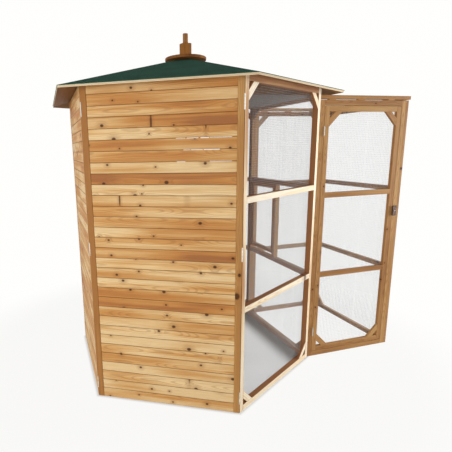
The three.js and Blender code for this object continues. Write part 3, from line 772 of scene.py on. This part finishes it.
def net(name, fields, depth, place, body):
    y = depth + NET_STAND_OFF
    rows = [row for field in fields for row in field_wires(*field, y)]
    piece = gather(f"{name}_wires", rows, place, zinc)
    fit(piece, body, "wire", name)


def whole_field(width, height):
    half = width / 2 - FACE + NET_LAP
    return (-half, half, FACE - NET_LAP, height - FACE + NET_LAP)


zinc = zinc_coat("galvanised wire", 160, 2, (190, 199, 207), (216, 225, 233), 0.1, 0.38, 0.6)
for name, number in (("right_wall_net", 1), ("back_wall_net", 3)):
    net(name, [whole_field(SIDE, WALL_HEIGHT)], DEPTH, wall_place(number), "aviary")
left, right, low, high = whole_field(SIDE, WALL_HEIGHT)
bay_low, bay_high = RAILS[1] + FACE - NET_LAP, RAILS[2] + NET_LAP
fields = [
    (left, right, low, bay_low), (left, HATCH_POST_LEFT + NET_LAP, bay_low, bay_high),
    (left, right, bay_high, high),
]
net("entry_wall_net", fields, DEPTH, entry_place, "aviary")


# Porch panels: the side opposite the entry wall and the end opposite the door, lighter frames
# of 25 mm fir with the same rails, braces and net.
PORCH_WIDTH, PORCH_HEIGHT, PORCH_DEPTH = 0.805, 2.050, 0.025
PORCH_INNER = PORCH_WIDTH - PORCH_DEPTH - 2 * SEAT
porch_middle = (PORCH_DEPTH - PORCH_WIDTH) / 2
side_place = entry_place @ Matrix.Translation((0, -PORCH_WIDTH, 0))
end_place = (
    entry_place @ Matrix.Translation((SIDE / 2, porch_middle, 0)) @ Matrix.Rotation(math.pi / 2, 4, "Z"))
porch_fir = wood("porch fir", [(212, 168, 112), (198, 150, 97), (172, 123, 77)], (126, 82, 46), 6.0, 0.7)


def square_posts(name, width, depth, height):
    inner, outer = width / 2 - FACE, width / 2
    return [
        timber(f"{name}_post_left", (-outer, 0, 0), (-inner, depth, height), "z"),
        timber(f"{name}_post_right", (inner, 0, 0), (outer, depth, height), "z"),
    ]


def light_panel(name, width, height):
    posts = square_posts(name, width, PORCH_DEPTH, height)
    return panel_sticks(name, width, PORCH_DEPTH, height, posts)


for name, width, place in (("porch_side", SIDE, side_place), ("porch_end", PORCH_INNER, end_place)):
    stand_whole(name, light_panel(name, width, PORCH_HEIGHT), place, porch_fir)
    net(f"{name}_net", [whole_field(width, PORCH_HEIGHT)], PORCH_DEPTH, place, "aviary")


# Portal: the door's surround between the hexagon and the porch side, two posts with a sill
# rail and a head rail set between them.
DOOR_POST = 0.038
portal_place = (
    entry_place @ Matrix.Translation((-SIDE / 2, porch_middle, 0)) @ Matrix.Rotation(-math.pi / 2, 4, "Z"))
outer, inner = PORCH_INNER / 2, PORCH_INNER / 2 - DOOR_POST
portal_sticks = [
    timber("portal_left_post", (-outer, 0, 0), (-inner, PORCH_DEPTH, PORCH_HEIGHT), "z"),
    timber("portal_right_post", (inner, 0, 0), (outer, PORCH_DEPTH, PORCH_HEIGHT), "z"),
    timber("portal_sill", (-inner, 0, 0), (inner, PORCH_DEPTH, FACE)),
    timber("portal_head", (-inner, 0, PORCH_HEIGHT - FACE), (inner, PORCH_DEPTH, PORCH_HEIGHT)),
]
fit(gather("portal_timbers", portal_sticks, portal_place, porch_fir), "aviary", "fir", "portal_frame")


# Door: a leaf built like the porch panels, hung on the left post 3 mm clear of the sill.
DOOR_GAP, HINGE_GAP = 0.003, 0.004
door_width = PORCH_INNER - 2 * DOOR_POST - HINGE_GAP - DOOR_GAP
door_height = PORCH_HEIGHT - 2 * FACE - 2 * DOOR_GAP
door_place = portal_place @ Matrix.Translation(((HINGE_GAP - DOOR_GAP) / 2, 0, FACE + DOOR_GAP))
stand_in_parts("door", light_panel("door", door_width, door_height), door_place, porch_fir, "door")
net("door_net", [whole_field(door_width, door_height)], PORCH_DEPTH, door_place, "door")


# Hatch: a small leaf in the entry wall's middle bay, four sticks of 34 mm with a net behind.
HATCH_FACE, HATCH_SILL_GAP = 0.034, 0.021
hatch_left = HATCH_POST_LEFT + FACE + DOOR_GAP
hatch_right = SIDE / 2 - FACE - HINGE_GAP
hatch_low, hatch_high = RAILS[1] + FACE + HATCH_SILL_GAP, RAILS[2] - DOOR_GAP
hatch_sticks = []
for x in (hatch_left, hatch_right - HATCH_FACE):
    high_end = (x + HATCH_FACE, PORCH_DEPTH, hatch_high)
    hatch_sticks.append(timber(f"hatch_upright_{x:.2f}", (x, 0, hatch_low), high_end, "z"))
for z in (hatch_low, hatch_high - HATCH_FACE):
    right_end = (hatch_right - HATCH_FACE, PORCH_DEPTH, z + HATCH_FACE)
    hatch_sticks.append(timber(f"hatch_level_{z:.2f}", (hatch_left + HATCH_FACE, 0, z), right_end))
fit(gather("hatch_timbers", hatch_sticks, entry_place, fir), "hatch", "fir", "hatch_frame")
lap = HATCH_FACE - NET_LAP
net("hatch_net", [(hatch_left + lap, hatch_right - lap, hatch_low + lap, hatch_high - lap)],
    PORCH_DEPTH, entry_place, "hatch")


# Porch roof: a flat frame of 27 mm fir resting on nine small packers over the panels' top
# rails, with net over it.
PACKER, PACKER_LENGTH, PACKER_EASE = 0.006, 0.060, 0.0005
PACKER_SHARES = (0.13, 0.46, 0.82)
PORCH_ROOF, PORCH_ROOF_FACE, PORCH_ROOF_SIDE, PORCH_OVERHANG = 0.027, 0.040, 0.025, 0.016
roof_low = PORCH_HEIGHT + SEAT + PACKER
roof_high = roof_low + PORCH_ROOF
edge = -PORCH_WIDTH - PORCH_OVERHANG
half, run_in = SIDE / 2, SIDE / 2 - PORCH_ROOF_FACE
roof_sticks = [
    timber("porch_roof_left", (-half, edge, roof_low), (-run_in, -SEAT, roof_high), "y"),
    timber("porch_roof_right", (run_in, edge, roof_low), (half, -SEAT, roof_high), "y"),
    timber("porch_roof_outer", (-run_in, edge, roof_low), (run_in, edge + PORCH_ROOF_SIDE, roof_high)),
    timber("porch_roof_inner", (-run_in, -SEAT - PORCH_ROOF_SIDE, roof_low), (run_in, -SEAT, roof_high)),
]
for share in PACKER_SHARES:
    y, x, l = -share * PORCH_INNER - SEAT, (share - 0.5) * SIDE, PACKER_LENGTH / 2
    corners = [
        ((-half, y - l), (PORCH_DEPTH - half, y + l)), ((half - PORCH_DEPTH, y - l), (half, y + l)),
        ((x - l, -PORCH_WIDTH), (x + l, PORCH_DEPTH - PORCH_WIDTH)),
    ]
    for n, (a, b) in enumerate(corners):
        packer = timber(f"packer_{share}_{n}", (*a, PORCH_HEIGHT + SEAT), (*b, roof_low), ease=PACKER_EASE)
        roof_sticks.append(packer)
fit(gather("porch_roof_timbers", roof_sticks, entry_place, porch_fir), "aviary", "fir", "porch_roof_frame")
lap_x = run_in + NET_LAP
lying = entry_place @ Matrix.Translation((0, 0, roof_high)) @ Matrix.Rotation(math.pi / 2, 4, "X")
inner_edge, outer_edge = -SEAT - PORCH_ROOF_SIDE + NET_LAP, edge + PORCH_ROOF_SIDE - NET_LAP
rows = field_wires(-lap_x, lap_x, outer_edge, inner_edge, -NET_STAND_OFF - 2 * WIRE)
fit(gather("porch_roof_net_wires", rows, lying, zinc), "aviary", "wire", "porch_roof_net")


# Rafters: six fir sticks under the hips, screwed to a six-sided hub in the middle.
PITCH = 0.2968
RAFTER_WIDTH, RAFTER_HEIGHT = 0.030, 0.035
HUB_RADIUS, HUB_HEIGHT = 0.076, 0.080
slope = math.atan(PITCH * math.cos(SIXTH / 2))
hub_place = Matrix.Translation((hub.x, hub.y, 0))


def deck_under(run):
    """Height of the roof boards' underside at a distance from the axis, square to a wall."""
    return WALL_HEIGHT + SEAT + PITCH * (APOTHEM - run)


reach = (APOTHEM - DEPTH - SEAT - RAFTER_WIDTH / 4) / math.cos(SIXTH / 2)
drop = PITCH * RAFTER_WIDTH / 4 + SEAT
middle_run = (HUB_RADIUS + reach) / 2
height = deck_under(middle_run * math.cos(SIXTH / 2)) - drop - RAFTER_HEIGHT / 2 / math.cos(slope)
middle = Vector((middle_run, 0, height))
half_length = (reach - HUB_RADIUS) / 2 / math.cos(slope)
box_half = Vector((half_length + RAFTER_HEIGHT, RAFTER_WIDTH / 2, RAFTER_HEIGHT / 2))
stops = [
    (Vector((reach, 0, 0)), (1, 0, 0)),
    (Vector((HUB_RADIUS * math.cos(SIXTH / 2), 0, 0)), (-1, 0, 0)),
]
rafters = []
for i in range(6):
    stick = timber(f"rafter_{i}", middle - box_half, middle + box_half, slant=slope, cuts=stops)
    stick.data.transform(Matrix.Rotation(i * SIXTH, 4, "Z"))
    rafters.append(stick)
hub_middle = Vector((0, 0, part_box("roof_rafters")[1].z - HUB_HEIGHT / 2))
block = cylinder("rafter_hub", 6, HUB_RADIUS, HUB_HEIGHT)
trim(ease=EASE)
block.data.transform(Matrix.Translation(hub_middle))
mark_grain(block, hub_middle, UNMOVED, "z")
fit(gather("rafters_and_hub", [*rafters, block], hub_place, fir), "aviary", "fir", "roof_rafters")


# Roof boards: six sheets of 12 mm plywood on the walls and rafters, triangles whose tips are cut
# off at the roof's opening, mitred at the hips, their sawn edges bare and pale.
OVERHANG, OPENING = 0.132, 0.077
DECK, FELT, FELT_OVERHANG = 0.012, 0.003, 0.003
PLY = 0.0024
PLY_PALE, PLY_DARK = (228, 210, 180), (182, 150, 108)
steepness = math.atan(PITCH)


def roof_sheet(name, under, thickness, overhang, number, joint):
    """One sloping side of the roof, x along the eave and y inwards, cut upright at eave and hub."""
    outer = APOTHEM + overhang
    length = (outer - OPENING) / math.cos(steepness) + 4 * thickness
    run = (outer + OPENING) / 2
    middle = Vector((0, APOTHEM - run, under(run) + thickness / 2 / math.cos(steepness)))
    turned = Matrix.Rotation(steepness, 4, "X")
    width = 2 * outer * math.tan(SIXTH / 2) + 4 * thickness
    sheet = cube(name, (width, length, thickness))
    sheet.data.transform(Matrix.Translation(middle) @ turned)
    hips = [mitre(side, -side * joint, APOTHEM) for side in (-1, 1)]
    trim([((0, -overhang, 0), (0, -1, 0)), ((0, APOTHEM - OPENING, 0), (0, 1, 0)), *hips])
    mark_grain(sheet, middle, turned)
    sheet.data.transform(wall_place(number))
    return sheet


def plywood():
    """Brown faced sheet: across its thickness, the pale plies show at the sawn edges."""
    tones = [(176, 136, 92), (160, 120, 78), (144, 104, 66)]
    material = wood("bare plywood", tones, (110, 74, 44), 2.0, 0.2, 0.05)
    tree, base, face, depth = across_nodes(material)
    wave = number_node(tree, "SINE", number_node(tree, "MULTIPLY", depth, math.pi / PLY))
    plies = span_node(tree, wave, -0.3, 0.3, 0.0, 0.4)
    edge = blend_node(tree, plies, colour(*PLY_PALE), colour(*PLY_DARK))
    inside = span_node(tree, depth, DECK * 0.47, DECK * 0.497, 1.0, 0.0)
    tree.links.new(blend_node(tree, inside, face, edge), base)
    return material


ply = plywood()
sheets = [roof_sheet(f"roof_board_{i}", deck_under, DECK, OVERHANG, i, SEAT) for i in range(6)]
fit(gather("roof_boards", sheets, UNMOVED, ply), "aviary", "plywood", "roof_deck")


# Roofing felt: dark green mineral felt nailed over the boards, one sheet to each side, lapped
# to a fine line at the hips and cut just past the boards' edge.
DARK_GRIT, PALE_GRIT, WORN_GRIT, SPECK = (35, 71, 58), (64, 112, 94), (44, 73, 61), (84, 114, 98)
GRIT_SCALE, GRIT_RELIEF = 700, 0.0009


def mineral_felt():
    """Grit of two greens, worn in patches and speckled paler."""
    material, tree, shader = new_material("green mineral felt")
    where = tree.nodes.new("ShaderNodeTexCoord")
    grit = tree.nodes.new("ShaderNodeTexVoronoi")
    grit.inputs["Scale"].default_value = GRIT_SCALE
    tree.links.new(where.outputs["Object"], grit.inputs["Vector"])
    grain = tree.nodes.new("ShaderNodeSeparateColor")
    tree.links.new(grit.outputs["Color"], grain.inputs[0])
    grains = span_node(tree, grain.outputs["Red"], 0.2, 0.9, 0, 1)
    base = blend_node(tree, grains, colour(*DARK_GRIT), colour(*PALE_GRIT))
    patches = span_node(tree, cloud_node(tree, 9, 6), 0.4, 0.7, 0, 0.5)
    worn = blend_node(tree, patches, base, colour(*WORN_GRIT))
    specks = span_node(tree, cloud_node(tree, 240, 3), 0.56, 0.7, 0, 0.4)
    tree.links.new(blend_node(tree, specks, worn, colour(*SPECK)), shader.inputs["Base Color"])
    shader.inputs["Roughness"].default_value = 0.95
    shader.inputs["Specular IOR Level"].default_value = 0.08
    bump_node(tree, shader, grit.outputs["Distance"], 0.8, GRIT_RELIEF)
    return material


def felt_under(run):
    return deck_under(run) + DECK / math.cos(steepness) + SEAT


sheets = [roof_sheet(f"felt_{i}", felt_under, FELT, OVERHANG + FELT_OVERHANG, i, 0.0) for i in range(6)]
fit(gather("roof_felt_sheets", sheets, UNMOVED, mineral_felt()), "aviary", "felt", "roof_felt")


# Finial: a turned disc over the roof's opening, a square block on it set cornerwise to the
# front, and a round peg in the block, all oiled fir.
DISC_RADIUS, BLOCK_RADIUS, PEG_RADIUS = 0.158, 0.047, 0.0195
SMOOTH = math.radians(35)
finial_fir = wood("oiled fir", [(168, 120, 76), (164, 110, 50), (128, 78, 44)], (96, 54, 24), 2.0, 0.2, 0.08)


def turned_piece(name, node, radius, sides, along, ease, tone):
    low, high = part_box(node)
    piece = cylinder(name, sides, radius, high.z - low.z)
    select_faces(piece, lambda face: sides == 4 or abs(face.normal.z) > FLAT)
    bpy.ops.mesh.bevel(offset=ease, segments=3, affect="EDGES")
    bpy.ops.object.mode_set(mode="OBJECT")
    bpy.ops.object.shade_smooth_by_angle(angle=SMOOTH)
    mark_grain(piece, Vector(), UNMOVED, along, tone)
    stood = Matrix.Translation((hub.x, hub.y, (low.z + high.z) / 2))
    fit(gather(name, [piece], stood, finial_fir), "aviary", "fir", node)


turned_piece("finial_turned_disc", "finial_disc", DISC_RADIUS, 96, "x", 0.004, 0.75)
turned_piece("finial_square_block", "finial_block", BLOCK_RADIUS, 4, "z", 0.002, 0.45)
turned_piece("finial_peg", "finial_post", PEG_RADIUS, 40, "z", 0.002, 0.3)


# Hinges and screws: zinc coated steel butt hinges, whose knuckles stand in front of the gap.
steel = zinc_coat("zinc plated steel", 55, 5, (184, 182, 174), (216, 213, 204), 0.4, 0.5, 0.7)
for name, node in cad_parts.items():
    if "_hinge_" in name or name.endswith("_screw"):
        node.data.materials.clear()
        node.data.materials.append(steel)


# Joint strips: thin steel angles, 88 mm long, screwed over four outer corners of the walls at
# three heights, two small screws to each wing.
STRIP_LENGTH, STRIP_WING, STRIP_STEEL = 0.088, 0.0045, 0.0012
STRIP_SEAT, STRIP_EASE = STRIP_STEEL * 0.02, 0.0003
STRIP_CORNERS = (5, 0, 3, 4)
STRIP_HEIGHTS = (0.110, 1.085, 1.975)
STRIP_SCREW, STRIP_SCREW_HEAD = 0.0015, 0.0008
SCREW_RISE = STRIP_LENGTH * 0.36
FORWARD = (math.pi / 2, 0, 0)


def screw_head(x, z):
    """A pan head lying on a strip's face, with a recess for the driver."""
    middle = (x, -STRIP_STEEL - STRIP_SCREW_HEAD / 2, z)
    head = cylinder("screw", 16, STRIP_SCREW, STRIP_SCREW_HEAD, middle, FORWARD)
    select_faces(head, lambda face: face.normal.y < -FLAT)
    bpy.ops.mesh.bevel(offset=STRIP_SCREW / 6, segments=2, affect="EDGES")
    select_faces(head, lambda face: face.normal.y < -FLAT)
    bpy.ops.mesh.inset(thickness=STRIP_SCREW / 2)
    bpy.ops.mesh.extrude_region_move(TRANSFORM_OT_translate={"value": (0, STRIP_SCREW_HEAD / 2, 0)})
    bpy.ops.object.mode_set(mode="OBJECT")
    mark_grain(head, Vector(), UNMOVED, "z")
    return head


def corner_strip(number, height):
    """The angle over the corner where wall number meets the one after it."""
    parts = []
    low, high = height - STRIP_LENGTH / 2, height + STRIP_LENGTH / 2
    for wall, side in ((number, 1), (number + 1, -1)):
        a, b = side * (SIDE / 2 - STRIP_WING), side * (SIDE / 2 + STRIP_STEEL)
        wing = timber("wing", (min(a, b), -STRIP_STEEL, low), (max(a, b), -STRIP_SEAT, high), "z",
                      cuts=[mitre(side, side * SIDE / 2)], ease=STRIP_EASE)
        x = side * (SIDE / 2 - STRIP_WING / 2)
        heads = [screw_head(x, height + rise) for rise in (-SCREW_RISE, SCREW_RISE)]
        for part in (wing, *heads):
            part.data.transform(wall_place(wall))
            parts.append(part)
    piece = gather(f"joint_strip_{number}_{int(height * 1000)}", parts, UNMOVED, steel)
    fit(piece, "aviary", "steel")


for number in STRIP_CORNERS:
    for height in STRIP_HEIGHTS:
        corner_strip(number, height)


# Turn buttons: two small hardwood latches on the posts, stained dark, with snipped corners, each
# bored for the slotted screw that it turns on.
DOOR_BUTTON, HATCH_BUTTON = (0.034, 0.082, 0.010), (0.020, 0.062, 0.008)
DOOR_BUTTON_X, DOOR_BUTTON_HEIGHT = 0.3672, 1.185
BUTTON_TONE, BUTTON_EASE = 0.5, 0.0007
SCREW_SHANK, SCREW_HEAD, SCREW_HEAD_HEIGHT, SCREW_LENGTH = 0.0025, 0.005, 0.0025, 0.018
SLOT_WIDTH, SLOT_DEPTH, SLOT_TURN = 0.0011, 0.0012, 0.6
hardwood = wood("stained hardwood", [(104, 66, 42), (88, 54, 33), (72, 42, 26)], (40, 22, 12), 1.0, 0.0, 0.5)


def rod(name, radius, low_y, high_y):
    return cylinder(name, 32, radius, high_y - low_y, (0, (low_y + high_y) / 2, 0), FORWARD)


def turn_button(button, width, height, thick, place):
    """The block hangs with its back just off the post; place is its screw's middle on the post."""
    half = Vector((width / 2, 0, height / 2))
    low, high = -half - Vector((0, thick + SEAT, 0)), half - Vector((0, SEAT, 0))
    snips = [
        (Vector((x * (half.x - width / 8), 0, z * half.z)), (x, 0, z)) for x in (-1, 1) for z in (-1, 1)
    ]
    block = timber(f"{button}_latch", low, high, "z", cuts=snips, tone=BUTTON_TONE, ease=BUTTON_EASE)
    carve(block, rod("bore", SCREW_SHANK + SEAT, -2 * thick, thick))
    mark_grain(block, Vector((0, -thick / 2, 0)), UNMOVED, "z", BUTTON_TONE)
    piece = gather(f"{button}_latch_block", [block], place, hardwood)
    fit(piece, button, "hardwood", button.replace("_button", "_turn_button"))


def slotted_screw(button, thick, place):
    """Shank and domed head in one, the head's underside lying on the button."""
    seat = -thick - 2 * SEAT
    shank = rod("shank", SCREW_SHANK, seat, SCREW_LENGTH)
    head = rod("head", SCREW_HEAD, seat - SCREW_HEAD_HEIGHT, seat)
    select_faces(head, lambda face: face.normal.y < -FLAT)
    bpy.ops.mesh.bevel(offset=SCREW_HEAD_HEIGHT * 0.6, segments=4, affect="EDGES")
    bpy.ops.object.mode_set(mode="OBJECT")
    slot = (SLOT_WIDTH, 2 * SLOT_DEPTH, 4 * SCREW_HEAD)
    carve(head, cube("slot", slot, (0, seat - SCREW_HEAD_HEIGHT, 0)))
    turned = place @ Matrix.Rotation(SLOT_TURN, 4, "Y")
    piece = gather(f"{button}_slotted_screw", [shank, head], turned, steel)
    bpy.ops.object.shade_smooth_by_angle(angle=SMOOTH)
    fit(piece, "aviary", "steel", f"{button}_screw")


hatch_middle = (hatch_low + hatch_high) / 2
for button, size, panel, x, z in (
        ("door_button", DOOR_BUTTON, portal_place, DOOR_BUTTON_X, DOOR_BUTTON_HEIGHT),
        ("hatch_button", HATCH_BUTTON, entry_place, HATCH_POST_LEFT + FACE / 2, hatch_middle)):
    where = panel @ Matrix.Translation((x, 0, z))
    turn_button(button, *size, where)
    slotted_screw(button, size[2], where)
